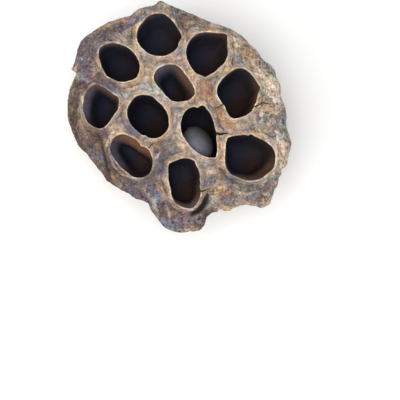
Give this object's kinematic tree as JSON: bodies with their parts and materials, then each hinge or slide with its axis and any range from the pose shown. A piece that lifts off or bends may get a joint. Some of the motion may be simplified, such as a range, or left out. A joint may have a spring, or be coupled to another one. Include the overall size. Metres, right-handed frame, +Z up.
{
  "type": "dried lotus pod",
  "caption": "Dried woody lotus seed pod, a flared cup on a short cut stub, its uneven face set with deep lipped pits, one of which still holds a loose grey seed.",
  "frame": {"origin": "under the middle of the pod's outline, on the surface that its cut stub stands on", "axes": "+Z up from the cut stub to the pitted face, +Y along the longer way across the face, towards the small point of the rim at the top of the picture, +X to the picture's right"},
  "size_m": [0.0874, 0.0904, 0.0446],
  "materials": {
    "dry_cup": "matt, dry, wrinkled plant tissue, brown and grey with paler lips",
    "seed_coat": "smooth, hard, slightly waxy seed coat"
  },
  "bodies": {
    "root": {"pod": "dry_cup", "seed": "seed_coat"}
  },
  "joints": []
}
